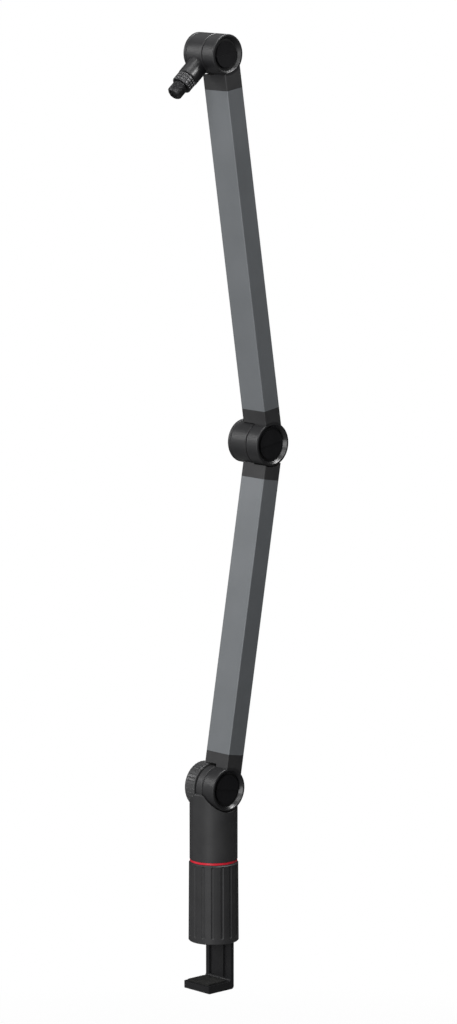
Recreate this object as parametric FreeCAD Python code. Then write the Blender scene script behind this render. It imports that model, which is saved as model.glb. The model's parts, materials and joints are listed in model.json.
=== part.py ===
import FreeCAD
import Part
import math
import os

V = FreeCAD.Vector

# Desk-clamp microphone boom arm, millimetres. The origin is the middle of the desk pad's underside,
# on the swivel axis: +Z is up, the microphone and the clamp mouth are at the front (-Y), and every
# pivot of the arm runs along X.

# Arm tubes
tube_width = 34.0
tube_depth = 21.8
tube_wall = 1.8
tube_corner = 1.2
tube_inner_corner = 0.7
lower_reach = 358.6
upper_reach = 407.7
lower_lean = 9.9
upper_lean = 8.9
tube_setback = 4.2
arm_offset = 6.3
pivot_to_tube = 36.5
plug_length = 28.0
plug_clearance = 0.1
plug_wall = 4.0

# Hub halves that turn on each pivot
hub_radius = 22.5
head_radius = 20.5
hub_gap = 0.6
hub_round = 1.0
elbow_depth = 23.2
head_depth = 23.4
saddle_gap = 1.0
hub_web = 7.2
cup_wall = 6.0
cup_lid = 4.0
lid_lip = 2.0

# Dished front face of a hub and the cap inside it
dish_rim = 2.2
dish_slope = 2.6
dish_depth = 4.0
cap_margin = 2.4
cap_base = 1.2
cap_step = 0.9
cap_plug = 2.2

# Pivot hardware
bolt_radius = 4.0
bolt_head_radius = 6.5
bolt_head = 5.0
bolt_socket = 6.0
socket_depth = 3.0
running_clearance = 0.05
bush_wall = 2.0
disc_radius = 16.0
disc_thickness = 1.6
disc_clearance = 0.3
spring_radius = 7.6
spring_rise = 0.8
spring_thickness = 0.9
nut_flange = 1.3
nut_flats = 13.0
nut_height = 7.0

# Shoulder knob
ear_thickness = 8.9
knob_radius = 24.5
knob_thickness = 14.3
knob_ribs = 40
knob_rib_depth = 0.7
knob_edge = 1.0
knob_face = 3.6
knob_dish = 1.6
insert_wall = 3.5
bolt_end_gap = 1.0
thrust_radius = 11.0
thrust_thickness = 1.0

# Microphone stud
stud_drop = 39.5
neck_radius = 10.9
neck_reach = 37.5
lock_ring_radius = 10.5
lock_ring_height = 11.0
lock_ring_flutes = 24
lock_ring_bevel = 1.05
lock_flute_radius = 0.55
stud_radius = 4.7625
adapter_radius = 7.9375
adapter_length = 12.7
adapter_chamfer = 1.9
adapter_slot = 1.6
turning_gap = 0.3

# Swivelling column
column_radius = 24.9
column_wall = 2.9
shoulder_height = 162.2
column_height = 75.4
horn_drop = 4.0
horn_round = 2.4
swivel_radius = 13.0
swivel_bush_wall = 2.5
swivel_flange = 2.0
swivel_flange_radius = 19.0
column_boss_wall = 2.5
swivel_insert_length = 11.0
insert_cover = 5.5

# Accent ring and clamp sleeve
ring_thickness = 2.2
ring_recess = 0.3
sleeve_bottom = 0.2
sleeve_bottom_radius = 26.1
sleeve_top_radius = 25.6
sleeve_edge = 0.7
sleeve_top_edge = 1.5
sleeve_flutes = 16
flute_radius = 2.6
flute_depth = 0.8
flute_start = 7.5
flute_margin = 3.1
sleeve_bore_gap = 0.6
nut_ring_length = 17.0
nut_ring_wall = 1.2
thread_gap = 0.3

# Fixed core inside the sleeve
core_gap = 0.8
flange_thickness = 4.0
flange_radius = 23.4
land_height = 5.4
core_bore = 11.0
core_web = 12.9
pad_thickness = 2.5
pad_margin = 0.6

# Sliding jaw
jaw_width = 38.0
jaw_thickness = 4.2
jaw_front = 6.7
jaw_slide_gap = 0.3
jaw_top = 45.0
jaw_fork_width = 17.0
jaw_fork_depth = 18.0
jaw_opening = 41.0
jaw_pad_thickness = 2.0
jaw_pad_margin = 3.0
jaw_foot_thickness = 8.0
jaw_foot_reach = 25.3
jaw_foot_nose = 1.6
jaw_foot_corner = 2.4
jaw_bend = 3.0
jaw_groove_width = 6.6
jaw_groove_depth = 1.8
jaw_rail = 5.0

# Tube screws
screw_radius = 1.6
screw_head_radius = 3.2
screw_length = 5.4
screw_inset = 11.0
screw_spread = 16.0

# Tolerance for picking edges by place
near = 0.01

# Places that follow from the sizes above
half_gap = hub_gap / 2
front_face = tube_width / 2
recess = disc_thickness / 2
bore_radius = bolt_radius + running_clearance
bush_radius = bore_radius + bush_wall
web_back = -recess - hub_web
dish_floor = front_face - dish_depth
bolt_seat = dish_floor - cap_plug - bolt_head
spring_height = 2 * (spring_rise + spring_thickness)
nut_face = web_back - spring_height
nut_back = nut_face - nut_flange - nut_height
ear_back = -half_gap - ear_thickness
knob_front = ear_back - thrust_thickness
knob_back = knob_front - knob_thickness
jaw_back = jaw_front + jaw_thickness
jaw_corner_radius = math.hypot(jaw_width / 2, jaw_back)
nut_bore = jaw_corner_radius + thread_gap
sleeve_bore = nut_bore + sleeve_bore_gap
column_bottom = shoulder_height - column_height
ring_top = column_bottom - turning_gap
ring_bottom = ring_top - ring_thickness
core_top = ring_bottom
sleeve_top = ring_bottom - turning_gap
flute_end = sleeve_top - flute_margin
flange_top = pad_thickness + flange_thickness
web_bottom = core_top - core_web
insert_top = shoulder_height - knob_radius - saddle_gap - insert_cover
insert_bottom = insert_top - swivel_insert_length
spigot_top = insert_bottom - saddle_gap
stud_seat = head_radius


def x_cylinder(radius, start, end):
    """Cylinder about the X axis."""
    return Part.makeCylinder(radius, end - start, V(start, 0, 0), V(1, 0, 0))


def z_cylinder(radius, start, end):
    """Cylinder about the Z axis."""
    return Part.makeCylinder(radius, end - start, V(0, 0, start))


def turned(outline, axis):
    """Solid of revolution from a closed outline of (place along the axis, radius) pairs."""
    side = V(0, 1, 0) if axis.x else V(1, 0, 0)
    corners = [axis * along + side * radius for along, radius in outline]
    face = Part.Face(Part.makePolygon(corners + corners[:1]))
    return face.revolve(V(0, 0, 0), axis, 360)


def x_turned(outline):
    return turned(outline, V(1, 0, 0))


def z_turned(outline):
    return turned(outline, V(0, 0, 1))


def x_ring(outer, inner, start, end):
    return x_turned([(start, inner), (start, outer), (end, outer), (end, inner)])


def z_ring(outer, inner, start, end):
    return z_turned([(start, inner), (start, outer), (end, outer), (end, inner)])


def is_upright(edge):
    along = edge.tangentAt(edge.FirstParameter)
    return abs(along.z) > abs(along.x) + abs(along.y)


def block(width, depth, corner, bottom, top, y):
    """Upright block with rounded vertical corners, centred on X."""
    box = Part.makeBox(width, depth, top - bottom, V(-width / 2, y - depth / 2, bottom))
    upright = [edge for edge in box.Edges if is_upright(edge)]
    return box.makeFillet(corner, upright)


def rounded_disc(radius, start, end, edge):
    """Disc about X with both rims rounded."""
    disc = x_cylinder(radius, start, end)
    rims = [rim for rim in disc.Edges if isinstance(rim.Curve, Part.Circle)]
    return disc.makeFillet(edge, rims)


def hexagon(flats, start, end):
    """Hexagonal bar along X."""
    corner = flats / math.sqrt(3)
    angles = [math.radians(60 * step) for step in range(7)]
    points = [V(start, corner * math.cos(angle), corner * math.sin(angle)) for angle in angles]
    return Part.Face(Part.makePolygon(points)).extrude(V(end - start, 0, 0))


def around(cutter, axis, count):
    """Copies of a cutter spaced evenly about an axis through the origin."""
    copies = []
    for step in range(count):
        copy = cutter.copy()
        copy.rotate(V(0, 0, 0), axis, 360.0 * step / count)
        copies.append(copy)
    return copies


def placed(shape, lean, pivot):
    """A piece made about a pivot at the origin, leant about X and set on its real pivot."""
    copy = shape.copy()
    copy.rotate(V(0, 0, 0), V(1, 0, 0), lean)
    copy.translate(pivot)
    return copy


def flipped(shape):
    """The same fitting for the other end of a tube, with the tube still behind the pivot."""
    return shape.mirror(V(0, 0, 0), V(0, 0, 1))


def lifted(shape, reach):
    """A piece moved along the arm to its upper pivot."""
    copy = shape.copy()
    copy.translate(V(0, 0, reach))
    return copy


# Arm tubes and their end fittings


def screw_places():
    """Two screws near a tube's end, through its back wall: places from the pivot, tube upwards."""
    height = pivot_to_tube + screw_inset
    back = tube_setback + tube_depth / 2
    return [V(side * screw_spread / 2, back, height) for side in (-1, 1)]


def countersunk_screw():
    """Screw along Y with its flat head at the origin."""
    head = tube_wall
    outline = [(0, 0), (screw_head_radius, 0), (screw_radius, -head), (screw_radius, -screw_length)]
    corners = [V(radius, along, 0) for radius, along in outline + [(0, -screw_length)]]
    return Part.Face(Part.makePolygon(corners + corners[:1])).revolve(V(0, 0, 0), V(0, 1, 0), 360)


def end_screws():
    screws = []
    for place in screw_places():
        screw = countersunk_screw()
        screw.translate(place)
        screws.append(screw)
    return screws


def tube_screws(reach):
    upper = [lifted(flipped(screw), reach) for screw in end_screws()]
    return Part.makeCompound(end_screws() + upper)


def tube(reach):
    """Rectangular extrusion between the two pivots of an arm."""
    ends = (pivot_to_tube, reach - pivot_to_tube)
    outer = block(tube_width, tube_depth, tube_corner, ends[0], ends[1], tube_setback)
    inside = tube_width - 2 * tube_wall, tube_depth - 2 * tube_wall
    inner = block(inside[0], inside[1], tube_inner_corner, ends[0], ends[1], tube_setback)
    return outer.cut(inner).cut(tube_screws(reach))


def plug():
    """Hollow plug that fills the end of a tube."""
    width = tube_width - 2 * (tube_wall + plug_clearance)
    depth = tube_depth - 2 * (tube_wall + plug_clearance)
    corner = tube_inner_corner
    bottom, top = pivot_to_tube, pivot_to_tube + plug_length
    shell = block(width, depth, corner, bottom, top, tube_setback)
    pocket = block(width - 2 * plug_wall, depth - 2 * plug_wall, corner, bottom, top, tube_setback)
    return shell.cut(pocket)


def dished(radius):
    """The room in a front hub's face: sloping dish, bolt head counterbore and bolt hole."""
    lip = radius - dish_rim
    dish = x_turned([(dish_floor, 0), (dish_floor, lip - dish_slope), (front_face, lip), (front_face, 0)])
    counterbore = x_cylinder(bolt_head_radius, bolt_seat, dish_floor)
    hole = x_cylinder(bolt_radius, half_gap, bolt_seat)
    seat = x_cylinder(disc_radius + disc_clearance, half_gap, recess)
    return [dish, counterbore, hole, seat]


def bush_room(back):
    """Friction disc seat and bush hole through the wall behind it."""
    seat = x_cylinder(disc_radius + disc_clearance, -recess, -half_gap)
    hole = x_cylinder(bush_radius, back, -recess)
    return [seat, hole]


def cupped(radius, depth):
    """The room in a back hub: seats for disc and bush, and the cup for the nut."""
    return bush_room(web_back) + [x_cylinder(radius - cup_wall, -depth, web_back)]


def fitting(radius, depth, clearance):
    """Moulded end of an arm, pivot at the origin and tube above.

    The front kind has depth 0 and fills the front half of the pivot; the back kind reaches depth
    behind the middle plane. The collar over the other half is cut to the clearance radius.
    """
    collar = block(tube_width, tube_depth, tube_corner, 0, pivot_to_tube, tube_setback)
    far = 2 * tube_width
    if depth:
        hub = rounded_disc(radius, -depth, -half_gap, hub_round)
        collar = collar.cut(x_cylinder(clearance, -half_gap, far))
        rooms = cupped(radius, depth)
    else:
        hub = rounded_disc(radius, half_gap, front_face, hub_round)
        collar = collar.cut(x_cylinder(clearance, -far, half_gap))
        rooms = dished(radius)
    body = collar.fuse([hub, plug()]).removeSplitter()
    return body.cut(rooms + end_screws())


def pivot_cap(radius):
    """Round cap in the dish, one half standing a step higher, with a plug over the bolt head."""
    edge = radius - dish_rim - dish_slope - cap_margin
    base = x_cylinder(edge, dish_floor, dish_floor + cap_base)
    step = x_cylinder(edge, dish_floor + cap_base, dish_floor + cap_base + cap_step)
    half = Part.makeBox(tube_width, 2 * radius, 2 * radius, V(0, -radius, 0))
    stem = x_cylinder(bolt_head_radius, bolt_seat + bolt_head, dish_floor)
    return base.fuse([step.common(half), stem]).removeSplitter()


def pivot_bolt(back):
    """Socket-head bolt along the pivot, head in the front hub and its end at the back."""
    head = x_cylinder(bolt_head_radius, bolt_seat, bolt_seat + bolt_head)
    shank = x_cylinder(bolt_radius, back, bolt_seat)
    socket = hexagon(bolt_socket, bolt_seat + bolt_head - socket_depth, bolt_seat + bolt_head)
    return head.fuse(shank).cut(socket)


def bush(back):
    return x_ring(bush_radius, bore_radius, back, -recess)


def friction_disc():
    return x_ring(disc_radius, bush_radius, -recess, recess)


def cone_washer(outer_place, inner_place):
    """Conical spring washer about X: where its back faces lie at the rim and at the bore."""
    inner, outer = bolt_radius, spring_radius
    behind = -spring_thickness
    return x_turned([(outer_place, outer), (inner_place, inner),
                     (inner_place + behind, inner), (outer_place + behind, outer)])


def spring_pair(face):
    """Two conical washers back to back behind a face."""
    inner = face - spring_rise
    second = inner - spring_thickness
    return Part.makeCompound([cone_washer(face, inner), cone_washer(second - spring_rise, second)])


def flange_nut():
    flange = x_cylinder(spring_radius, nut_face - nut_flange, nut_face)
    body = hexagon(nut_flats, nut_back, nut_face - nut_flange)
    return flange.fuse(body).cut(x_cylinder(bolt_radius, nut_back, nut_face))


def back_lid(radius, depth):
    """Cover of a back hub, with a lip inside the cup."""
    lid = rounded_disc(radius, -depth - cup_lid, -depth, hub_round)
    cup = radius - cup_wall
    return lid.fuse(x_ring(cup, cup - lid_lip, -depth, -depth + lid_lip)).removeSplitter()


# Shoulder knob


def knob():
    """Ribbed tightening knob with a dished outer face, bored for its insert."""
    rim, dish = knob_radius, knob_radius - knob_face
    edge = knob_edge
    body = x_turned([
        (knob_front, 0), (knob_front, rim - edge), (knob_front - edge, rim), (knob_back + edge, rim),
        (knob_back, rim - edge), (knob_back, dish), (knob_back + knob_dish, dish - knob_dish),
        (knob_back + knob_dish, 0)])
    notch = Part.makeCylinder(knob_rib_depth, knob_thickness, V(knob_back, 0, rim), V(1, 0, 0))
    insert_room = x_cylinder(bore_radius + insert_wall, insert_back(), knob_front)
    return body.cut(around(notch, V(1, 0, 0), knob_ribs)).cut(insert_room)


def insert_back():
    return knob_back + knob_dish + knob_face


def knob_insert():
    return x_ring(bore_radius + insert_wall, bore_radius, insert_back(), knob_front)


def thrust_washer():
    return x_ring(thrust_radius, bore_radius, knob_front, ear_back)


# Microphone head, with the stud along +Z before it is leant


def stud_column(shape):
    """A piece of the stud moved over the middle of the head's back hub."""
    copy = shape.copy()
    copy.rotate(V(0, 0, 0), V(1, 0, 0), 90 + stud_drop)
    copy.translate(V(-(head_depth + half_gap) / 2, 0, 0))
    return copy


def head_hub():
    hub = rounded_disc(head_radius, -head_depth, -half_gap, hub_round)
    neck = z_cylinder(neck_radius, 0, neck_reach)
    rims = [rim for rim in neck.Edges if isinstance(rim.Curve, Part.Circle) and rim.CenterOfMass.z > 0]
    neck = stud_column(neck.makeFillet(hub_round, rims))
    neck = neck.common(x_cylinder(2 * neck_reach, -head_depth, -half_gap))
    hole = stud_column(z_cylinder(stud_radius, stud_seat, neck_reach))
    return hub.fuse(neck).cut(cupped(head_radius, head_depth) + [hole])


def adapter_bottom():
    return neck_reach + lock_ring_height + 2 * turning_gap


def mic_stud():
    end = adapter_bottom() + adapter_length - adapter_slot
    return stud_column(z_cylinder(stud_radius, stud_seat, end))


def lock_ring():
    """Fluted ring nut on the stud, with a waist at each end."""
    bottom = neck_reach + turning_gap
    top = bottom + lock_ring_height
    bevel = lock_ring_bevel
    rim = lock_ring_radius
    bore = stud_radius + running_clearance
    body = z_turned([(bottom, bore), (bottom, rim - bevel), (bottom + bevel, rim),
                     (top - bevel, rim), (top, rim - bevel), (top, bore)])
    flute = Part.makeCylinder(lock_flute_radius, top - bottom, V(rim, 0, bottom))
    return stud_column(body.cut(around(flute, V(0, 0, 1), lock_ring_flutes)))


def thread_adapter():
    """Sleeve with the wide outer thread, chamfered, with a driver slot across its end."""
    bottom = adapter_bottom()
    top = bottom + adapter_length
    tip = adapter_radius - adapter_chamfer
    body = z_turned([
        (bottom, stud_radius), (bottom, adapter_radius), (top - adapter_chamfer, adapter_radius),
        (top, tip), (top, stud_radius)])
    slot = Part.makeBox(2 * adapter_radius, adapter_slot, adapter_slot,
                        V(-adapter_radius, -adapter_slot / 2, top - adapter_slot))
    return stud_column(body.cut(slot))


# Swivelling column


def column_housing():
    """Round column whose top is cut to cradle the shoulder hub and the knob on either side of an ear."""
    ear = rounded_disc(hub_radius, ear_back, -half_gap, hub_round)
    front_room = x_cylinder(hub_radius + saddle_gap, -half_gap, 2 * column_radius)
    back_room = x_cylinder(knob_radius + saddle_gap, -2 * column_radius, ear_back)
    for piece in (ear, front_room, back_room):
        piece.translate(V(arm_offset, 0, shoulder_height))
    horn = shoulder_height - horn_drop
    post = z_cylinder(column_radius, column_bottom, horn)
    level = [edge for edge in post.Edges if not is_upright(edge)]
    rims = [edge for edge in level if edge.CenterOfMass.z > column_bottom + near]
    post = post.makeFillet(horn_round, rims)
    pivot_rooms = bush_room(ear_back)
    for room in pivot_rooms:
        room.translate(V(arm_offset, 0, shoulder_height))
    boss = swivel_radius + swivel_bush_wall
    spigot_room = z_cylinder(boss, column_bottom, insert_bottom)
    flange_room = z_cylinder(swivel_flange_radius, column_bottom, ring_top + swivel_flange)
    hollow = z_ring(column_radius - column_wall, boss + column_boss_wall, column_bottom, spigot_top)
    insert_room = z_cylinder(bush_radius, insert_bottom, insert_top)
    solid = post.cut([front_room, back_room]).fuse(ear).removeSplitter()
    return solid.cut(pivot_rooms + [spigot_room, flange_room, hollow, insert_room])


def swivel_bush():
    """Flanged plain bearing between the core's spigot and the column."""
    inner, outer = swivel_radius + running_clearance, swivel_radius + swivel_bush_wall
    flange = swivel_flange_radius
    return z_turned([(ring_top, inner), (ring_top, flange), (ring_top + swivel_flange, flange),
                     (ring_top + swivel_flange, outer), (spigot_top, outer), (spigot_top, inner)])


def swivel_insert():
    return z_ring(bush_radius, bolt_radius, insert_bottom, insert_top)


def swivel_bolt():
    """Bolt that draws the column down on the core, its head under the core's web."""
    seat = web_bottom - spring_height - nut_flange
    head = z_cylinder(bolt_head_radius, seat - bolt_head, seat)
    return head.fuse(z_cylinder(bolt_radius, seat, insert_top)).removeSplitter()


def swivel_washer():
    seat = web_bottom - spring_height - nut_flange
    return z_ring(spring_radius, bolt_radius, seat, seat + nut_flange)


def swivel_springs():
    """The same two conical washers, upright under the core's web."""
    pair = spring_pair(0)
    pair.rotate(V(0, 0, 0), V(0, 1, 0), -90)
    pair.translate(V(0, 0, web_bottom))
    return pair


# Clamp


def jaw_slot(bottom, top):
    """Room for the jaw's upright."""
    width = jaw_width + 2 * jaw_slide_gap
    depth = jaw_thickness + 2 * jaw_slide_gap
    return Part.makeBox(width, depth, top - bottom, V(-width / 2, jaw_front - jaw_slide_gap, bottom))


def base_core():
    """Fixed core: bottom flange, D-shaped guide for the jaw, round land and swivel spigot."""
    land = core_top - land_height
    core_radius = nut_bore - core_gap
    guide = z_cylinder(core_radius, pad_thickness, land)
    behind = Part.makeBox(2 * core_radius, 2 * core_radius, land - flange_top,
                          V(-core_radius, jaw_front - jaw_slide_gap, flange_top))
    flange = z_cylinder(flange_radius, pad_thickness, flange_top).cut(jaw_slot(pad_thickness, flange_top))
    guide = guide.cut(behind).cut(jaw_slot(pad_thickness, flange_top))
    top_land = z_cylinder(sleeve_bore - turning_gap, land, core_top)
    spigot = z_cylinder(swivel_radius, core_top, spigot_top)
    bolt_hole = z_cylinder(bore_radius, web_bottom, spigot_top)
    hollow = z_cylinder(core_bore, pad_thickness, web_bottom)
    return guide.fuse([flange, top_land, spigot]).removeSplitter().cut([bolt_hole, hollow])


def base_pad():
    """Rubber pad under the flange, cut straight in front of the jaw."""
    disc = z_cylinder(flange_radius - pad_margin, 0, pad_thickness)
    reach = 2 * flange_radius
    front = Part.makeBox(2 * reach, reach, pad_thickness,
                         V(-reach, jaw_front - jaw_slide_gap - pad_margin - reach, 0))
    return disc.common(front)


def accent_ring():
    return z_ring(column_radius - ring_recess, swivel_radius, ring_bottom, ring_top)


def clamp_sleeve():
    """Fluted grip that turns about the core, tapering upwards, with a seat for its thread ring."""
    edge, top_edge = sleeve_edge, sleeve_top_edge
    low, high = sleeve_bottom_radius, sleeve_top_radius
    shoulder = flange_top + turning_gap
    seat_top = shoulder + nut_ring_length
    seat = nut_bore + nut_ring_wall
    mouth = flange_radius + turning_gap
    body = z_turned([
        (sleeve_bottom, mouth), (sleeve_bottom, low - edge), (sleeve_bottom + edge, low),
        (sleeve_top - top_edge, high), (sleeve_top, high - top_edge), (sleeve_top, sleeve_bore),
        (seat_top, sleeve_bore), (seat_top, seat), (shoulder, seat), (shoulder, mouth)])
    taper = math.atan2(low - high, sleeve_top - sleeve_bottom)
    start = V(low + flute_radius - flute_depth, 0, flute_start)
    along = V(-math.sin(taper), 0, math.cos(taper))
    flute = Part.makeCylinder(flute_radius, flute_end - flute_start, start, along)
    ends = [Part.makeSphere(flute_radius, start),
            Part.makeSphere(flute_radius, start + along * (flute_end - flute_start))]
    flute = flute.fuse(ends)
    return body.cut(around(flute, V(0, 0, 1), sleeve_flutes))


def thread_ring():
    """Metal ring in the sleeve whose inner thread drives the edges of the jaw."""
    bottom = flange_top + turning_gap
    return z_ring(nut_bore + nut_ring_wall, nut_bore, bottom, bottom + nut_ring_length)


def jaw_bracket():
    """L-shaped plate: forked upright with two sunk channels, and a foot with a rounded plan."""
    top = -jaw_opening - jaw_pad_thickness
    bottom = top - jaw_foot_thickness
    nose = jaw_foot_nose
    outline = [(jaw_back, jaw_top), (jaw_front, jaw_top), (jaw_front, top), (-jaw_foot_reach, top),
               (-jaw_foot_reach, bottom + nose), (-jaw_foot_reach + nose, bottom), (jaw_back, bottom)]
    corners = [V(-jaw_width / 2, y, z) for y, z in outline]
    plate = Part.Face(Part.makePolygon(corners + corners[:1])).extrude(V(jaw_width, 0, 0))
    bends = [edge for edge in plate.Edges if bend_edge(edge, top, bottom)]
    plate = plate.makeFillet(jaw_bend, bends)
    front = [edge for edge in plate.Edges if nose_edge(edge)]
    plate = plate.makeFillet(jaw_foot_corner, front)
    channel = Part.makeBox(jaw_groove_width, jaw_groove_depth, jaw_top - top - jaw_bend,
                           V(0, jaw_front, top + jaw_bend))
    left, right = channel.copy(), channel.copy()
    left.translate(V(-jaw_width / 2 + jaw_rail, 0, 0))
    right.translate(V(jaw_width / 2 - jaw_rail - jaw_groove_width, 0, 0))
    return plate.cut([left, right, jaw_fork()])


def jaw_fork():
    """Notch in the top of the upright that passes the swivel bolt's head when the jaw is raised."""
    round_end = jaw_fork_width / 2
    bottom = jaw_top - jaw_fork_depth + round_end
    straight = Part.makeBox(jaw_fork_width, jaw_thickness, jaw_top - bottom, V(-round_end, jaw_front, bottom))
    return straight.fuse(Part.makeCylinder(round_end, jaw_thickness, V(0, jaw_front, bottom), V(0, 1, 0)))


def bend_edge(edge, top, bottom):
    """The inner and outer bends between upright and foot."""
    middle = edge.CenterOfMass
    inner = abs(middle.y - jaw_front) < near and abs(middle.z - top) < near
    outer = abs(middle.y - jaw_back) < near and abs(middle.z - bottom) < near
    return inner or outer


def nose_edge(edge):
    """The two upright edges at the front of the foot."""
    return is_upright(edge) and abs(edge.CenterOfMass.y + jaw_foot_reach) < near


def jaw_pad():
    """Rubber pad on the foot."""
    front = -jaw_foot_reach + jaw_pad_margin
    back = jaw_front - jaw_bend - jaw_pad_margin
    width = jaw_width - 2 * jaw_pad_margin
    corner = jaw_foot_corner - jaw_pad_margin / 2
    bottom = -jaw_opening - jaw_pad_thickness
    return block(width, back - front, corner, bottom, -jaw_opening, (front + back) / 2)


# The arm put together: shoulder, elbow and head pivots follow from the two leans
shoulder = V(arm_offset, 0, shoulder_height)
elbow_clearance = hub_radius + saddle_gap
lower_turn = math.radians(lower_lean)
upper_turn = math.radians(upper_lean)
elbow = shoulder + V(0, math.sin(lower_turn), math.cos(lower_turn)) * lower_reach
head = elbow + V(0, -math.sin(upper_turn), math.cos(upper_turn)) * upper_reach

clamp = {
    "base_core": base_core(),
    "base_pad": base_pad(),
    "accent_ring": accent_ring(),
    "clamp_sleeve": clamp_sleeve(),
    "thread_ring": thread_ring(),
    "jaw_bracket": jaw_bracket(),
    "jaw_pad": jaw_pad(),
    "column_housing": column_housing(),
    "swivel_bush": swivel_bush(),
    "swivel_insert": swivel_insert(),
    "swivel_bolt": swivel_bolt(),
    "swivel_washer": swivel_washer(),
    "swivel_springs": swivel_springs(),
}

shoulder_upright = {
    "shoulder_bush": bush(ear_back),
    "shoulder_disc": friction_disc(),
    "shoulder_knob": knob(),
    "knob_insert": knob_insert(),
    "knob_washer": thrust_washer(),
}

lower_arm = {
    "lower_tube": tube(lower_reach),
    "lower_tube_screws": tube_screws(lower_reach),
    "lower_arm_foot": fitting(hub_radius, 0, knob_radius + saddle_gap),
    "lower_arm_head": lifted(flipped(fitting(hub_radius, elbow_depth, elbow_clearance)), lower_reach),
    "shoulder_bolt": pivot_bolt(insert_back() + bolt_end_gap),
    "shoulder_cap": pivot_cap(hub_radius),
    "elbow_bush": lifted(bush(web_back), lower_reach),
    "elbow_disc": lifted(friction_disc(), lower_reach),
    "elbow_lid": lifted(back_lid(hub_radius, elbow_depth), lower_reach),
}

upper_arm = {
    "upper_tube": tube(upper_reach),
    "upper_tube_screws": tube_screws(upper_reach),
    "upper_arm_foot": fitting(hub_radius, 0, elbow_clearance),
    "upper_arm_head": lifted(flipped(fitting(head_radius, 0, head_radius + saddle_gap)), upper_reach),
    "elbow_bolt": pivot_bolt(nut_back),
    "elbow_springs": spring_pair(web_back),
    "elbow_nut": flange_nut(),
    "elbow_cap": pivot_cap(hub_radius),
    "head_bolt": lifted(pivot_bolt(nut_back), upper_reach),
    "head_springs": lifted(spring_pair(web_back), upper_reach),
    "head_nut": lifted(flange_nut(), upper_reach),
    "head_cap": lifted(flipped(pivot_cap(head_radius)), upper_reach),
}

mic_head = {
    "head_hub": head_hub(),
    "head_bush": bush(web_back),
    "head_disc": friction_disc(),
    "head_lid": back_lid(head_radius, head_depth),
    "mic_stud": mic_stud(),
    "lock_ring": lock_ring(),
    "thread_adapter": thread_adapter(),
}

nodes = dict(clamp)
for group, lean, pivot in ((shoulder_upright, 0, shoulder), (lower_arm, -lower_lean, shoulder),
                           (upper_arm, upper_lean, elbow), (mic_head, 0, head)):
    for name, shape in group.items():
        nodes[name] = placed(shape, lean, pivot)

os.makedirs("parts", exist_ok=True)
for name, shape in nodes.items():
    shape.exportStep(f"parts/{name}.step")
    print(f"{name}: {len(shape.Solids)} solid, valid {shape.isValid()}, {shape.Volume / 1000:.2f} cm3")
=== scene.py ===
import json
import math

import bpy
import numpy as np
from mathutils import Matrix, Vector


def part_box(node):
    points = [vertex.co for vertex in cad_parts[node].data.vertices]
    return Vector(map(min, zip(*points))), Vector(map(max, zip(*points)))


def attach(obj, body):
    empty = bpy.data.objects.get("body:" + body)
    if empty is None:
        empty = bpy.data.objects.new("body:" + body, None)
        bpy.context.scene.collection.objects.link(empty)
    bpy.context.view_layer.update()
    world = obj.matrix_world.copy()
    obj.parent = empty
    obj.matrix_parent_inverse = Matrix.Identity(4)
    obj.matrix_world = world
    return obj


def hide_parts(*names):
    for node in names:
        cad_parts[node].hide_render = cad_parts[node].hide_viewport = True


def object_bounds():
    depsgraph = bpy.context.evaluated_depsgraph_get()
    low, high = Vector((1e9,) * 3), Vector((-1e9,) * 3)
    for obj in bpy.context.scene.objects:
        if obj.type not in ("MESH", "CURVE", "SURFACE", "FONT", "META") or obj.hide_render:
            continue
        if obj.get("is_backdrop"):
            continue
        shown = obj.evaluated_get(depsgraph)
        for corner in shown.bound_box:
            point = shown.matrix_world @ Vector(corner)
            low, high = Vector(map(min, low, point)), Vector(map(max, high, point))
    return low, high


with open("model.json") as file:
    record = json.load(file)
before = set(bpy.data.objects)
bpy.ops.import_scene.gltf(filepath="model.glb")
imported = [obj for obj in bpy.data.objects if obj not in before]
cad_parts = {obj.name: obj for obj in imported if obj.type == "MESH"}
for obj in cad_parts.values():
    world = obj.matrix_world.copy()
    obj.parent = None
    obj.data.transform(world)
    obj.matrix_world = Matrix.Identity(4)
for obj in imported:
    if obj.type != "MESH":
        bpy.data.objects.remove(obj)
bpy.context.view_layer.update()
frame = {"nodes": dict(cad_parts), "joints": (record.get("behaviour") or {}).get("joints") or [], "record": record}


# Fixed core of the clamp: glass-filled nylon, moulded in one shot with its flange and swivel spigot.
# It stands still on the desk, guides the jaw and carries the column; only the flange's edge is seen.
def new_finish(name):
    """A node material, its tree, its one Principled shader and the Object coordinate that patterns read."""
    finish = bpy.data.materials.new(name)
    finish.use_nodes = True
    tree = finish.node_tree
    shader = next(node for node in tree.nodes if node.type == "BSDF_PRINCIPLED")
    place = tree.nodes.new("ShaderNodeTexCoord").outputs["Object"]
    return finish, tree, shader, place


def speckle(tree, place, size, detail):
    """Noise whose patches are about size metres across."""
    noise = tree.nodes.new("ShaderNodeTexNoise")
    noise.inputs["Scale"].default_value = 1.0 / size
    noise.inputs["Detail"].default_value = detail
    tree.links.new(place, noise.inputs["Vector"])
    return noise.outputs[0]


def step(tree, value, start, end, low, high):
    """A value carried from low to high while another goes from start to end."""
    ramp = tree.nodes.new("ShaderNodeMapRange")
    for socket, number in (("From Min", start), ("From Max", end), ("To Min", low), ("To Max", high)):
        ramp.inputs[socket].default_value = number
    tree.links.new(value, ramp.inputs["Value"])
    return ramp.outputs["Result"]


# Nearly all of a noise lies between these two values.
noise_low, noise_high = 0.3, 0.7


def between(tree, noise, low, high):
    """A noise spread over a span of values."""
    return step(tree, noise, noise_low, noise_high, low, high)


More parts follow.
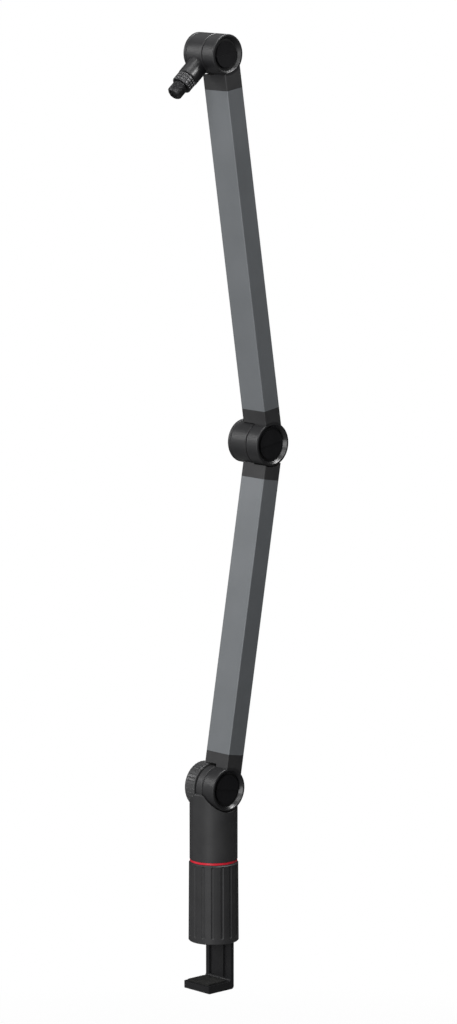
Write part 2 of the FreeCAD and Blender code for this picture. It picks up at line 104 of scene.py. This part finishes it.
def tones(tree, noise, dark, pale):
    """A colour that runs from dark to pale with a noise."""
    ramp = tree.nodes.new("ShaderNodeValToRGB")
    first, last = ramp.color_ramp.elements
    first.position = noise_low
    last.position = noise_high
    first.color = (*dark, 1.0)
    last.color = (*pale, 1.0)
    tree.links.new(noise, ramp.inputs["Fac"])
    return ramp.outputs["Color"]


def relief(tree, height, depth, shader):
    """Surface relief of a given depth in metres."""
    bump = tree.nodes.new("ShaderNodeBump")
    bump.inputs["Distance"].default_value = depth
    tree.links.new(height, bump.inputs["Height"])
    tree.links.new(bump.outputs["Normal"], shader.inputs["Normal"])
    return bump


def moulded(name, dark, pale, smooth, rough, grain, depth, gloss):
    """Moulded plastic: slow drift of tone, fine grain in relief and in roughness."""
    finish, tree, shader, place = new_finish(name)
    drift = speckle(tree, place, size=0.018, detail=3.0)
    fine = speckle(tree, place, size=grain, detail=2.0)
    tree.links.new(tones(tree, drift, dark, pale), shader.inputs["Base Color"])
    tree.links.new(between(tree, fine, smooth, rough), shader.inputs["Roughness"])
    relief(tree, fine, depth, shader)
    shader.inputs["Specular IOR Level"].default_value = gloss
    return finish


def dress(finish, *names):
    """Puts a finish on CAD nodes that stay in view."""
    for name in names:
        mesh = frame["nodes"][name].data
        mesh.materials.clear()
        mesh.materials.append(finish)


core_finish = moulded(
    "core_nylon", dark=(0.011, 0.011, 0.012), pale=(0.016, 0.016, 0.017),
    smooth=0.55, rough=0.66, grain=0.0006, depth=0.00003, gloss=0.12)
dress(core_finish, "base_core")


# Desk pad and jaw pad: soft black rubber sheet, moulded with ribs across it and cut to shape, bonded
# under the core's flange and on the jaw's foot. They grip a desk top without marking it.
def matt_rubber(name, dark, pale):
    """Matt rubber: a dusty drift of tone and a fine leathery grain."""
    smooth, rough, grain_depth, gloss = 0.72, 0.9, 0.00004, 0.12
    finish, tree, shader, place = new_finish(name)
    dust = speckle(tree, place, size=0.007, detail=5.0)
    grain = speckle(tree, place, size=0.0009, detail=3.0)
    tree.links.new(tones(tree, dust, dark, pale), shader.inputs["Base Color"])
    tree.links.new(between(tree, grain, smooth, rough), shader.inputs["Roughness"])
    relief(tree, grain, grain_depth, shader)
    shader.inputs["Specular IOR Level"].default_value = gloss
    return finish


def set_up(name, data):
    """A new object at the origin, in the scene."""
    thing = bpy.data.objects.new(name, data)
    bpy.context.scene.collection.objects.link(thing)
    return thing


def skin(name, points, finish, rows_meet=True):
    """Closed mesh over a grid of points, rows by columns, whose last column joins the first.

    The last row joins the first too, unless the end rows close themselves. Each square between
    neighbours is cut into two triangles. Doubled points are merged, triangles that have shrunk to a
    line are dropped, and the turn of all of them is set so that the volume is positive.
    """
    merge_decimals, crease = 7, math.radians(38.0)
    index = np.arange(points[..., 0].size).reshape(points.shape[:2])
    below, beside = np.roll(index, -1, 0), np.roll(index, -1, 1)
    across = np.roll(below, -1, 1)
    squares = slice(None) if rows_meet else slice(-1)
    cut = np.concatenate([np.stack([index, below, across], -1)[squares],
                          np.stack([index, across, beside], -1)[squares]])
    rounded = np.round(points.reshape(-1, 3), merge_decimals)
    kept, merged = np.unique(rounded, axis=0, return_inverse=True)
    triangles = merged.reshape(-1)[cut.reshape(-1, 3)]
    one, two, three = triangles.T
    triangles = triangles[(one != two) & (two != three) & (three != one)]
    one, two, three = kept[triangles].transpose(1, 0, 2)
    if (np.cross(one, two) * three).sum() < 0:
        triangles = triangles[:, ::-1]
    mesh = bpy.data.meshes.new(name)
    mesh.from_pydata(kept, [], triangles)
    mesh.polygons.foreach_set("use_smooth", np.ones(len(triangles), bool))
    mesh.set_sharp_from_angle(angle=crease)
    mesh.materials.append(finish)
    return set_up(name, mesh)


def ribbed_pad(name, low, high, half_width, up, finish):
    """Rubber pad between two heights, its ribbed face up or down.

    A closed section runs forth over the ribs, which are a sine of Y, and back along the flat side. It is
    carried along X to both edges, whose distance from the middle is a function of Y. Near an edge the ribs
    are cut to a quarter round, and at the edge the ribbed side drops to the flat one, which closes the end.
    """
    rib_pitch, rib_depth, points_per_rib = 0.0023, 0.0006, 12
    edge, edge_rows = 0.0005, 6
    rib_count = math.ceil((high[1] - low[1]) / rib_pitch)
    forth = np.linspace(low[1], high[1], points_per_rib * rib_count)
    y = np.concatenate([forth, forth[::-1]])
    flat, face = (low[2], high[2]) if up else (high[2], low[2])
    ribs = rib_depth / 2 * (1.0 - np.cos(math.tau * (forth - low[1]) / rib_pitch))
    turn = np.linspace(0.0, math.pi / 2, edge_rows)
    inset, drop = edge * (1.0 - np.cos(turn)), edge * (1.0 - np.sin(turn))
    height = np.abs(face - flat) - np.maximum(ribs, drop[:, None])
    height = np.concatenate([0.0 * height[:1], height, height[::-1], 0.0 * height[:1]])
    height = np.concatenate([height, 0.0 * height], 1)
    inset = np.concatenate([inset[:1], inset])
    half = half_width(y)
    across = half - inset[:, None] * np.minimum(half / edge, 1.0)
    across = np.concatenate([-across, across[::-1]])
    z = flat + height * np.sign(face - flat)
    return skin(name, np.stack([across, y + 0.0 * across, z], -1), finish, rows_meet=False)


def straight_sides(low, high, corner):
    """Half width of a rectangle with rounded corners, as a function of Y."""
    def half_width(y):
        into = np.clip(corner - np.minimum(y - low[1], high[1] - y), 0.0, corner)
        return high[0] - corner + np.sqrt(corner**2 - into**2)
    return half_width


def round_sides(radius, flat_end):
    """Half width of a disc with a short flat at its end, as a function of Y."""
    return lambda y: np.sqrt(np.maximum(radius**2 - y**2, flat_end**2))


rubber = matt_rubber("pad_rubber", dark=(0.014, 0.014, 0.014), pale=(0.024, 0.024, 0.023))
low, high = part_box("base_pad")
round_pad = round_sides(radius=-low[1], flat_end=0.0008)
desk_pad = ribbed_pad("ribbed_desk_pad", low, high, round_pad, False, rubber)
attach(desk_pad, "base")
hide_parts("base_pad")
low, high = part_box("jaw_pad")
square_pad = straight_sides(low, high, corner=0.0009)
jaw_pad = ribbed_pad("ribbed_jaw_pad", low, high, square_pad, True, rubber)
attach(jaw_pad, "jaw")
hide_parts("jaw_pad")


# Turning sleeve of the clamp: fluted grip moulded in black ABS, with a brass thread ring pressed in.
# Turned by hand, its ring drives the edges of the jaw up or down.
def metal(name, dark, pale, smooth, rough, size):
    """Bare metal with fine machining marks in tone, roughness and relief."""
    mark_depth = 0.00001
    finish, tree, shader, place = new_finish(name)
    marks = speckle(tree, place, size, detail=4.0)
    tree.links.new(tones(tree, marks, dark, pale), shader.inputs["Base Color"])
    tree.links.new(between(tree, marks, smooth, rough), shader.inputs["Roughness"])
    relief(tree, marks, mark_depth, shader)
    shader.inputs["Metallic"].default_value = 1.0
    return finish


sleeve_finish = moulded(
    "sleeve_abs", dark=(0.018, 0.018, 0.019), pale=(0.025, 0.025, 0.026),
    smooth=0.44, rough=0.56, grain=0.0005, depth=0.00002, gloss=0.3)
dress(sleeve_finish, "clamp_sleeve")
brass = metal(
    "machined_brass", dark=(0.52, 0.36, 0.11), pale=(0.62, 0.45, 0.17),
    smooth=0.25, rough=0.4, size=0.0012)
dress(brass, "thread_ring", "swivel_insert", "knob_insert")


# Sliding jaw: steel bent to an L with two channels pressed into its upright, black powder coated.
# Its edges run in the sleeve's thread ring, and the core keeps it from turning.
def powder_coat(name, dark, pale):
    """Powder coat: a low orange-peel relief over black steel."""
    smooth, rough, peel_depth, gloss = 0.36, 0.48, 0.00008, 0.12
    finish, tree, shader, place = new_finish(name)
    peel = speckle(tree, place, size=0.0011, detail=2.0)
    drift = speckle(tree, place, size=0.02, detail=3.0)
    tree.links.new(tones(tree, drift, dark, pale), shader.inputs["Base Color"])
    tree.links.new(between(tree, peel, smooth, rough), shader.inputs["Roughness"])
    relief(tree, peel, peel_depth, shader)
    shader.inputs["Specular IOR Level"].default_value = gloss
    return finish


jaw_finish = powder_coat("jaw_powder_coat", dark=(0.012, 0.012, 0.013), pale=(0.018, 0.018, 0.019))
dress(jaw_finish, "jaw_bracket")


# Accent ring: a thin disc of red plastic, glossy, trapped between the sleeve and the column.
# It is keyed on the spigot and shows only as a fine red line.
accent_finish = moulded(
    "accent_red", dark=(0.60, 0.012, 0.030), pale=(0.68, 0.016, 0.038),
    smooth=0.30, rough=0.40, grain=0.0008, depth=0.00001, gloss=0.4)
dress(accent_finish, "accent_ring")


# Column: black ABS housing that swivels on the core, cored out from below round its bearing boss.
# Its top is cut to cradle the shoulder hub and the knob, with an ear left standing between them.
column_finish = moulded(
    "column_abs", dark=(0.019, 0.019, 0.020), pale=(0.026, 0.026, 0.027),
    smooth=0.44, rough=0.56, grain=0.0005, depth=0.00002, gloss=0.3)
dress(column_finish, "column_housing")


# Bearings and fasteners inside the column and the pivots: white acetal bushes, pressed friction
# discs, and zinc-plated bolts, nuts, washers and conical springs. Caps and lids cover them.
acetal = moulded(
    "bush_acetal", dark=(0.66, 0.66, 0.62), pale=(0.74, 0.74, 0.70),
    smooth=0.35, rough=0.45, grain=0.0008, depth=0.00001, gloss=0.5)
dress(acetal, "swivel_bush", "shoulder_bush", "elbow_bush", "head_bush")
lining = moulded(
    "friction_lining", dark=(0.055, 0.036, 0.022), pale=(0.11, 0.075, 0.048),
    smooth=0.8, rough=0.95, grain=0.0007, depth=0.00005, gloss=0.2)
dress(lining, "shoulder_disc", "elbow_disc", "head_disc")
zinc = metal(
    "zinc_plate", dark=(0.36, 0.37, 0.38), pale=(0.50, 0.51, 0.52),
    smooth=0.28, rough=0.42, size=0.0015)
dress(zinc, "swivel_bolt", "swivel_washer", "swivel_springs", "shoulder_bolt", "knob_washer", "elbow_bolt")
dress(zinc, "elbow_springs", "elbow_nut", "head_bolt", "head_springs", "head_nut")


# Shoulder knob: moulded black plastic with a ribbed rim and a dished outer face, over a brass insert.
# It runs on the shoulder bolt and draws the hub against the column's ear.
knob_finish = moulded(
    "knob_plastic", dark=(0.036, 0.036, 0.037), pale=(0.047, 0.047, 0.048),
    smooth=0.36, rough=0.48, grain=0.0004, depth=0.00002, gloss=0.35)
dress(knob_finish, "shoulder_knob")


# Lower and upper arm tubes: rectangular aluminium extrusions, sawn to length and anodised satin grey.
# Fine die lines run along them; the moulded ends are plugged in and screwed from the back.
def anodised(name, lean, pivot, dark, pale):
    """Satin anodising on an extrusion: die lines that run along the arm, and a slow drift of tone.

    The Mapping node undoes the arm's lean about its pivot and stretches the noise along the tube.
    """
    line_width, line_length, line_depth = 0.0006, 0.09, 0.000004
    smooth, rough, metallic, gloss = 0.38, 0.46, 0.15, 0.3
    finish, tree, shader, place = new_finish(name)
    along = tree.nodes.new("ShaderNodeMapping")
    along.vector_type = "TEXTURE"
    along.inputs["Location"].default_value = pivot
    along.inputs["Rotation"].default_value = (lean, 0.0, 0.0)
    along.inputs["Scale"].default_value = (line_width, line_width, line_length)
    tree.links.new(place, along.inputs["Vector"])
    lines = speckle(tree, along.outputs["Vector"], size=1.0, detail=3.0)
    drift = speckle(tree, place, size=0.05, detail=2.0)
    tree.links.new(tones(tree, drift, dark, pale), shader.inputs["Base Color"])
    tree.links.new(between(tree, lines, smooth, rough), shader.inputs["Roughness"])
    relief(tree, lines, line_depth, shader)
    shader.inputs["Metallic"].default_value = metallic
    shader.inputs["Specular IOR Level"].default_value = gloss
    return finish


satin_dark, satin_pale = (0.132, 0.141, 0.149), (0.148, 0.157, 0.166)
pivots = {joint["name"]: np.array(joint["pos_m"]) for joint in frame["joints"] if "pos_m" in joint}
shoulder, elbow, head = pivots["shoulder_pitch"], pivots["elbow_pitch"], pivots["head_tilt"]
arms = ("lower", shoulder, elbow), ("upper", elbow, head)
for name, low_end, high_end in arms:
    lean = math.atan2(low_end[1] - high_end[1], high_end[2] - low_end[2])
    satin = anodised(name + "_anodised", lean, low_end, satin_dark, satin_pale)
    dress(satin, name + "_tube")


# Ends of the arms: black moulded fittings with a hub half, a collar and a plug inside the tube.
# The mould is etched on the barrels, finer on the collars and the neck, and polished in the dishes.
# The two halves of a pivot turn face to face, and lids close the cups that hold the nuts.
def radius_from(tree, place, pivot):
    """Distance of a point from a pivot's axis, which runs along X."""
    offset = tree.nodes.new("ShaderNodeVectorMath")
    offset.operation = "SUBTRACT"
    offset.inputs[1].default_value = pivot
    tree.links.new(place, offset.inputs[0])
    flat = tree.nodes.new("ShaderNodeVectorMath")
    flat.operation = "MULTIPLY"
    flat.inputs[1].default_value = (0.0, 1.0, 1.0)
    tree.links.new(offset.outputs[0], flat.inputs[0])
    reach = tree.nodes.new("ShaderNodeVectorMath")
    reach.operation = "LENGTH"
    tree.links.new(flat.outputs[0], reach.inputs[0])
    return reach.outputs["Value"]


def combined(tree, operation, one, two, clamp=False):
    """Sum or product of two values, kept between 0 and 1 where asked."""
    result = tree.nodes.new("ShaderNodeMath")
    result.operation = operation
    result.use_clamp = clamp
    tree.links.new(one, result.inputs[0])
    tree.links.new(two, result.inputs[1])
    return result.outputs[0]


def hub_moulding(name, pivot, barrel, barrel_tones, dish_rough, beyond_tones, beyond_rough):
    """Moulded plastic whose texture changes with the distance from the pivot's axis.

    Inside the rim the dish is polished, the barrel is etched, and beyond the barrel comes another texture.
    Roughness is a sum of one step at the rim and one at the barrel, on a fine noise. The relief of that
    noise is nearly gone in the dish.
    """
    rim, fade, barrel_rough, rough_spread = 0.0020, 0.0006, 0.40, 0.08
    etch_depth, dish_share, gloss = 0.00002, 0.1, 0.3
    dish_start, dish_end = barrel - rim - fade, barrel - rim
    beyond_start, beyond_end = barrel + fade / 2, barrel + 2 * fade
    finish, tree, shader, place = new_finish(name)
    drift = speckle(tree, place, size=0.018, detail=3.0)
    fine = speckle(tree, place, size=0.0005, detail=2.0)
    away = radius_from(tree, place, pivot)
    colour = tree.nodes.new("ShaderNodeMix")
    colour.data_type = "RGBA"
    share, first, second = colour.inputs[0], colour.inputs[6], colour.inputs[7]
    tree.links.new(step(tree, away, beyond_start, beyond_end, 0.0, 1.0), share)
    tree.links.new(tones(tree, drift, *barrel_tones), first)
    tree.links.new(tones(tree, drift, *beyond_tones), second)
    tree.links.new(colour.outputs[2], shader.inputs["Base Color"])
    rough = between(tree, fine, 0.0, rough_spread)
    at_rim = step(tree, away, dish_start, dish_end, dish_rough, barrel_rough)
    at_barrel = step(tree, away, beyond_start, beyond_end, 0.0, beyond_rough - barrel_rough)
    rough = combined(tree, "ADD", combined(tree, "ADD", rough, at_rim), at_barrel)
    tree.links.new(rough, shader.inputs["Roughness"])
    etched = relief(tree, fine, etch_depth, shader)
    tree.links.new(step(tree, away, dish_start, dish_end, dish_share, 1.0), etched.inputs["Strength"])
    shader.inputs["Specular IOR Level"].default_value = gloss
    return finish


def disc_radius(name):
    """Radius of a disc about X, from its box."""
    low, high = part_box(name)
    return (high[2] - low[2]) / 2


hub_black = (0.011, 0.011, 0.012), (0.015, 0.015, 0.016)
# The head's barrel is the same plastic as the other hubs, given a darker copy of their black: painted shade for
# the shadow that falls on the head.
head_black_painted_shade = (0.008, 0.008, 0.009), (0.011, 0.011, 0.012)
collar_black = (0.019, 0.019, 0.020), (0.027, 0.027, 0.028)
neck_black = (0.009, 0.009, 0.010), (0.013, 0.013, 0.014)
hub_dish, head_dish, collar_rough, neck_rough = 0.25, 0.40, 0.5, 0.32
hub_radius, head_radius = disc_radius("elbow_lid"), disc_radius("head_lid")
shoulder_hub = hub_moulding(
    "shoulder_hub_abs", shoulder, hub_radius, hub_black, hub_dish, collar_black, collar_rough)
elbow_hub = hub_moulding(
    "elbow_hub_abs", elbow, hub_radius, hub_black, hub_dish, collar_black, collar_rough)
head_collar = hub_moulding(
    "head_collar_abs", head, head_radius, head_black_painted_shade, head_dish, collar_black, collar_rough)
head_neck = hub_moulding(
    "head_neck_abs", head, head_radius, head_black_painted_shade, head_dish, neck_black, neck_rough)
dress(shoulder_hub, "lower_arm_foot")
dress(elbow_hub, "lower_arm_head", "elbow_lid", "upper_arm_foot")
dress(head_collar, "upper_arm_head", "head_lid")
dress(head_neck, "head_hub")


# Caps: round covers moulded in black plastic, one half of the face a step higher than the other.
# They snap into the dished faces of the hubs and hide the bolt heads.
cap_finish = moulded(
    "cap_plastic", dark=(0.008, 0.008, 0.009), pale=(0.012, 0.012, 0.013),
    smooth=0.50, rough=0.62, grain=0.0004, depth=0.00002, gloss=0.08)
dress(cap_finish, "shoulder_cap", "elbow_cap", "head_cap")


# Tube screws: countersunk steel screws with a cross recess, chemically blackened, two at each end of a
# tube. They go through its back wall into the moulded plug and lie flush with the tube.
def cross_screw():
    """One screw about its own axis: radius and depth, in rows from the middle of the head to the tip.

    Rows on the head sink by the recess depth where the nearer axis of the cross is within its arm's
    half width and the farther one within its arm's length, both with a short slope.
    """
    head_radius, shank_radius, head_depth, length = 0.0032, 0.0016, 0.0018, 0.0054
    arm, arm_length, slope, recess = 0.00050, 0.0019, 0.00022, 0.0013
    columns, head_rows = 72, 26
    angle = np.linspace(0.0, math.tau, columns, endpoint=False)
    on_head = np.linspace(0.0, head_radius, head_rows)
    radius = np.concatenate([on_head, [shank_radius, shank_radius, 0.0]])[:, None] + 0.0 * angle
    depth = np.concatenate([0.0 * on_head, [head_depth, length, length]])[:, None] + 0.0 * angle
    one, two = np.abs(radius * np.cos(angle)), np.abs(radius * np.sin(angle))
    inside = np.clip((arm - np.minimum(one, two)) / slope, 0.0, 1.0)
    inside = inside * np.clip((arm_length - np.maximum(one, two)) / slope, 0.0, 1.0)
    depth = np.where(depth == 0.0, recess * inside, depth)
    return radius, angle, depth


def tube_screws(name, low_end, high_end, finish):
    """The four screws of a tube: one screw set at each place, its head in the tube's back face.

    The tube's way is from pivot to pivot, and its back is that way crossed with X.
    """
    spread, back_face, from_pivot = 0.016, 0.0151, 0.0475
    span = high_end - low_end
    reach = np.linalg.norm(span)
    way = span / reach
    side = np.array((1.0, 0.0, 0.0))
    back = np.cross(way, side)
    radius, angle, depth = cross_screw()
    flat = radius[..., None] * (np.cos(angle)[:, None] * side + np.sin(angle)[:, None] * way)
    screw = flat - depth[..., None] * back
    screws = []
    for along in (from_pivot, reach - from_pivot):
        for sideways in (-spread / 2, spread / 2):
            place = low_end + along * way + sideways * side + back_face * back
            screws.append(skin(f"{name}_{len(screws) + 1}", screw + place, finish))
    return screws


screw_finish = metal(
    "blackened_steel", dark=(0.030, 0.030, 0.032), pale=(0.050, 0.050, 0.053),
    smooth=0.34, rough=0.48, size=0.0006)
for name, low_end, high_end in arms:
    screws = tube_screws(name + "_screw", low_end, high_end, screw_finish)
    for screw in screws:
        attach(screw, name + "_arm")
    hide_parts(name + "_tube_screws")


# Microphone stud: black-oxide steel, screwed into the head's neck. The wide adapter on its end is cut
# with the 5/8 inch thread, 27 turns to the inch, that microphone clips screw on to.
stud_finish = metal(
    "black_oxide", dark=(0.030, 0.030, 0.031), pale=(0.050, 0.050, 0.051),
    smooth=0.38, rough=0.50, size=0.0007)
dress(stud_finish, "mic_stud")
mic_mount = next(mount for mount in frame["record"]["mounts"] if mount["name"] == "mic_thread")
thread_middle, stud_way = np.array(mic_mount["pos_m"]), np.array(mic_mount["axis"])
thread_radius, thread_length = mic_mount["dims"]["r_mm"] / 1000, mic_mount["dims"]["length_mm"] / 1000
stud_radius = 0.0047625


def on_stud(radius, angle, height):
    """Points about the stud: out by a radius, at an angle from X, at a height from the thread's middle."""
    across = np.array((1.0, 0.0, 0.0))
    side = np.cross(stud_way, across)
    out = np.cos(angle)[..., None] * across + np.sin(angle)[..., None] * side
    return thread_middle + radius[..., None] * out + height[..., None] * stud_way


def threaded_adapter():
    """Threaded sleeve as one closed section carried round the stud.

    Outside, the radius is the smaller of the thread and of the turned blank, which has a relief at the
    foot and a chamfer at the tip. The thread is a flattened triangle wave of height over pitch less turns.
    The columns meet the edges of the driver slot, whose half angle is the arcsine of half its width over
    the row's radius, and between those edges no point stands above the slot's floor.
    """
    pitch, depth, chamfer, slot = 0.0254 / 27, 0.00055, 0.0019, 0.0016
    rows, side_columns, slot_columns, crest_flat = 160, 46, 5, 0.125
    foot, tip = -thread_length / 2, thread_length / 2 + chamfer
    outside = np.linspace(foot, tip, rows)
    blank = thread_radius - np.maximum(outside - tip + chamfer, 0.0)
    blank = np.where(outside < foot + pitch, thread_radius - depth, blank)
    height = np.concatenate([outside, [tip, tip - slot, foot]])[:, None]
    blank = np.concatenate([blank, [stud_radius] * 3])[:, None]
    half = np.arcsin(slot / 2 / blank)
    turns = [(half, math.pi - half), (math.pi - half, math.pi + half),
             (math.pi + half, math.tau - half), (math.tau - half, math.tau + half)]
    counts = [side_columns, slot_columns, side_columns, slot_columns]
    angle = np.concatenate([start + (end - start) * np.linspace(0.0, 1.0, count)
                            for (start, end), count in zip(turns, counts)], 1)
    in_slot = np.repeat([False, True, False, True], counts)
    wave = np.abs(2.0 * np.mod(height / pitch - angle / math.tau, 1.0) - 1.0)
    cut = thread_radius - depth * np.clip((1.0 + 2.0 * crest_flat) * wave - crest_flat, 0.0, 1.0)
    height = np.where(in_slot, np.minimum(height, tip - slot), height)
    return on_stud(np.minimum(blank, cut), angle, height)


adapter = skin("threaded_adapter", threaded_adapter(), stud_finish)
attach(adapter, "mic_head")
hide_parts("thread_adapter")


# Lock ring: turned and fluted steel nut, black oxide, that runs on the stud and locks a microphone clip
# from behind. Two grooves round it part the flutes into three bands.
def lock_ring_section():
    """Ring as one closed section carried round the stud.

    The radius is the rim's, less a bevel at both ends and two round grooves, or less a round flute where
    that is deeper. A flute is cut where the arc to its middle is under the flute's radius.
    """
    rim, bevel, half = 0.0105, 0.00105, 0.0055
    flutes, flute, columns_per_flute = 24, 0.00055, 12
    groove, groove_depth, rows = 0.0007, 0.0008, 90
    ring_middle = np.dot(pivots["ring_turn"] - thread_middle, stud_way)
    outside = np.linspace(-half, half, rows)
    height = np.concatenate([outside, [half, -half]])[:, None]
    angle = np.linspace(0.0, math.tau, columns_per_flute * flutes, endpoint=False)
    arc = rim * math.tau / flutes * (np.mod(angle * flutes / math.tau + 0.5, 1.0) - 0.5)
    notch = np.sqrt(np.maximum(flute**2 - arc**2, 0.0))
    away = np.minimum(np.abs(height - half / 3), np.abs(height + half / 3))
    ring_groove = groove_depth * np.sqrt(np.maximum(1.0 - (away / groove) ** 2, 0.0))
    ends = np.maximum(np.abs(height) - half + bevel, 0.0)
    outer = np.minimum(rim - ends - ring_groove, rim - notch)
    inner = np.full((2, 1), stud_radius) + 0.0 * angle
    radius = np.concatenate([outer[:-2], inner])
    return on_stud(radius, angle + 0.0 * radius, ring_middle + height + 0.0 * radius)


lock_ring = skin("fluted_lock_ring", lock_ring_section(), stud_finish)
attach(lock_ring, "ring_nut")
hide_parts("lock_ring")


# Studio: a white surround and a white paper floor well below the arm. The paper looks white to the
# camera and in mirrors, greyer near the arm so that it keeps the shadow, and throws little light back.
def seen_directly(tree):
    """1 for rays that look at the surround straight, in a mirror or through glass, and 0 for light."""
    path = tree.nodes.new("ShaderNodeLightPath")
    mirrored = combined(tree, "ADD", path.outputs["Is Camera Ray"], path.outputs["Is Glossy Ray"])
    return combined(tree, "ADD", mirrored, path.outputs["Is Transmission Ray"], clamp=True)


def shader_mix(tree, share, first, second):
    """A shader that goes over from a first to a second one with a share."""
    mix = tree.nodes.new("ShaderNodeMixShader")
    for source, socket in zip((share, first, second), mix.inputs):
        tree.links.new(source, socket)
    return mix.outputs[0]


def sky_light(tree, strength):
    """White light of a given strength from all round."""
    light = tree.nodes.new("ShaderNodeBackground")
    light.inputs["Color"].default_value = (1.0, 1.0, 1.0, 1.0)
    light.inputs["Strength"].default_value = strength
    return light.outputs[0]


fill_strength, white_strength = 0.12, 1.0
surround = bpy.data.worlds.new("studio_surround")
surround.use_nodes = True
bpy.context.scene.world = surround
sky = surround.node_tree
sky.nodes.clear()
sky_mix = shader_mix(sky, seen_directly(sky), sky_light(sky, fill_strength), sky_light(sky, white_strength))
sky_out = sky.nodes.new("ShaderNodeOutputWorld")
sky.links.new(sky_mix, sky_out.inputs["Surface"])

floor_size, floor_height = 30.0, -0.35
floor_corners = [(-1, -1), (1, -1), (1, 1), (-1, 1)]
floor_points = [(floor_size * x, floor_size * y, floor_height) for x, y in floor_corners]
floor_mesh = bpy.data.meshes.new("floor")
floor_mesh.from_pydata(floor_points, [], [(0, 1, 2, 3)])
floor = set_up("floor", floor_mesh)
grey_paper, white_paper, matt_rough = (0.18, 0.18, 0.18), (0.85, 0.85, 0.85), 0.9
near_share, near_reach, far_reach, mirror_scale = 0.12, 0.4, 1.2, 0.35
paper, paper_tree, matt, floor_place = new_finish("white_paper")
camera_ray = paper_tree.nodes.new("ShaderNodeLightPath").outputs["Is Camera Ray"]
paper_tone = tones(paper_tree, camera_ray, grey_paper, white_paper)
paper_tree.links.new(paper_tone, matt.inputs["Base Color"])
matt.inputs["Roughness"].default_value = matt_rough
glow = paper_tree.nodes.new("ShaderNodeEmission")
glow.inputs["Strength"].default_value = white_strength
away = paper_tree.nodes.new("ShaderNodeVectorMath")
away.operation = "LENGTH"
paper_tree.links.new(floor_place, away.inputs[0])
reach_scale = step(paper_tree, camera_ray, 0.0, 1.0, mirror_scale, 1.0)
reach = combined(paper_tree, "MULTIPLY", away.outputs["Value"], reach_scale)
whiter = step(paper_tree, reach, near_reach, far_reach, near_share, 1.0)
glow_share = combined(paper_tree, "MULTIPLY", seen_directly(paper_tree), whiter)
paper_mix = shader_mix(paper_tree, glow_share, matt.outputs[0], glow.outputs[0])
paper_out = next(node for node in paper_tree.nodes if node.type == "OUTPUT_MATERIAL")
paper_tree.links.new(paper_mix, paper_out.inputs["Surface"])
floor_mesh.materials.append(paper)
floor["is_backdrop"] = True


# Lights: tall soft boxes before the arm and at its left, one above it and one behind, and two small ones
# at its right. The strip overhead and the glint show in gloss alone, the back box in matt surfaces alone.
# A curved dark card behind the arm, out of the camera's sight, keeps its far edges black.
def stand_off(thing, target, azimuth, elevation, distance):
    """Puts a light or camera off its target, by a distance, an angle round it and one above the horizon."""
    turn, rise = math.radians(azimuth), math.radians(elevation)
    back = Vector((math.sin(turn) * math.cos(rise), -math.cos(turn) * math.cos(rise), math.sin(rise)))
    thing.location = target + back * distance
    thing.rotation_mode = "QUATERNION"
    thing.rotation_quaternion = (-back).to_track_quat("-Z", "Y")


def soft_box(name, azimuth, elevation, distance, width, height, power):
    """Area light aimed at the middle of the arm."""
    arm_middle = Vector((0.0, 0.03, 0.5))
    lamp = bpy.data.lights.new(name, "AREA")
    lamp.shape = "RECTANGLE"
    lamp.size = width
    lamp.size_y = height
    lamp.energy = power
    box = set_up(name, lamp)
    stand_off(box, arm_middle, azimuth, elevation, distance)
    return box


soft_box("key_box", azimuth=16.0, elevation=47.0, distance=3.0, width=1.2, height=1.8, power=48.0)
soft_box("low_box", azimuth=25.0, elevation=0.0, distance=3.0, width=0.6, height=1.7, power=42.0)
soft_box("side_box", azimuth=-50.0, elevation=20.0, distance=2.6, width=0.4, height=1.0, power=20.0)
soft_box("top_box", azimuth=176.0, elevation=67.0, distance=2.2, width=0.45, height=0.6, power=32.0)
soft_box("edge_box", azimuth=99.4, elevation=42.5, distance=1.21, width=0.14, height=0.14, power=2.2)
glint = soft_box(
    "glint_box", azimuth=99.4, elevation=47.0, distance=1.21, width=0.22, height=0.22, power=8.0)
glint.visible_diffuse = False
strip = soft_box(
    "strip_box", azimuth=160.0, elevation=75.0, distance=2.2, width=0.6, height=1.45, power=68.0)
strip.visible_diffuse = False
back = soft_box(
    "back_box", azimuth=227.0, elevation=25.0, distance=2.6, width=1.0, height=1.6, power=28.0)
back.visible_glossy = False

card_start, card_end, card_steps = 86.0, 298.0, 48
card_away, card_top, card_black, card_rough = 1.4, 2.0, (0.02, 0.02, 0.02, 1.0), 0.9
card_turn = np.radians(np.linspace(card_start, card_end, card_steps + 1))
card_foot = np.stack([card_away * np.sin(card_turn), -card_away * np.cos(card_turn), 0.0 * card_turn], -1)
card_points = np.concatenate([card_foot + (0.0, 0.0, floor_height), card_foot + (0.0, 0.0, card_top)])
card_corners = np.array((0, 1, card_steps + 2, card_steps + 1))
card_mesh = bpy.data.meshes.new("dark_card")
card_mesh.from_pydata(card_points, [], np.arange(card_steps)[:, None] + card_corners)
card = set_up("dark_card", card_mesh)
card_finish, _, card_shader, _ = new_finish("dark_card")
card_shader.inputs["Base Color"].default_value = card_black
card_shader.inputs["Roughness"].default_value = card_rough
card_mesh.materials.append(card_finish)
card.visible_camera = False
card.visible_shadow = False
card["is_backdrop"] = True


# Camera: a long lens a little above the middle of the arm, before its microphone end and to its right.
# It is aimed beside the column, so that the arm stands in the frame as in the photograph.
camera = bpy.data.cameras.new("camera")
camera.sensor_width = 36.0
camera.lens = 175.8
azimuth, elevation, distance = 47.0, 9.4, 5.117
aim_beside, aim_height = 0.01543, 0.4495
right = Vector((math.cos(math.radians(azimuth)), math.sin(math.radians(azimuth)), 0.0))
stand = set_up("camera", camera)
stand_off(stand, right * aim_beside + Vector((0.0, 0.0, aim_height)), azimuth, elevation, distance)
bpy.context.scene.camera = stand
bpy.context.scene.view_settings.view_transform = "Standard"

low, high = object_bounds()
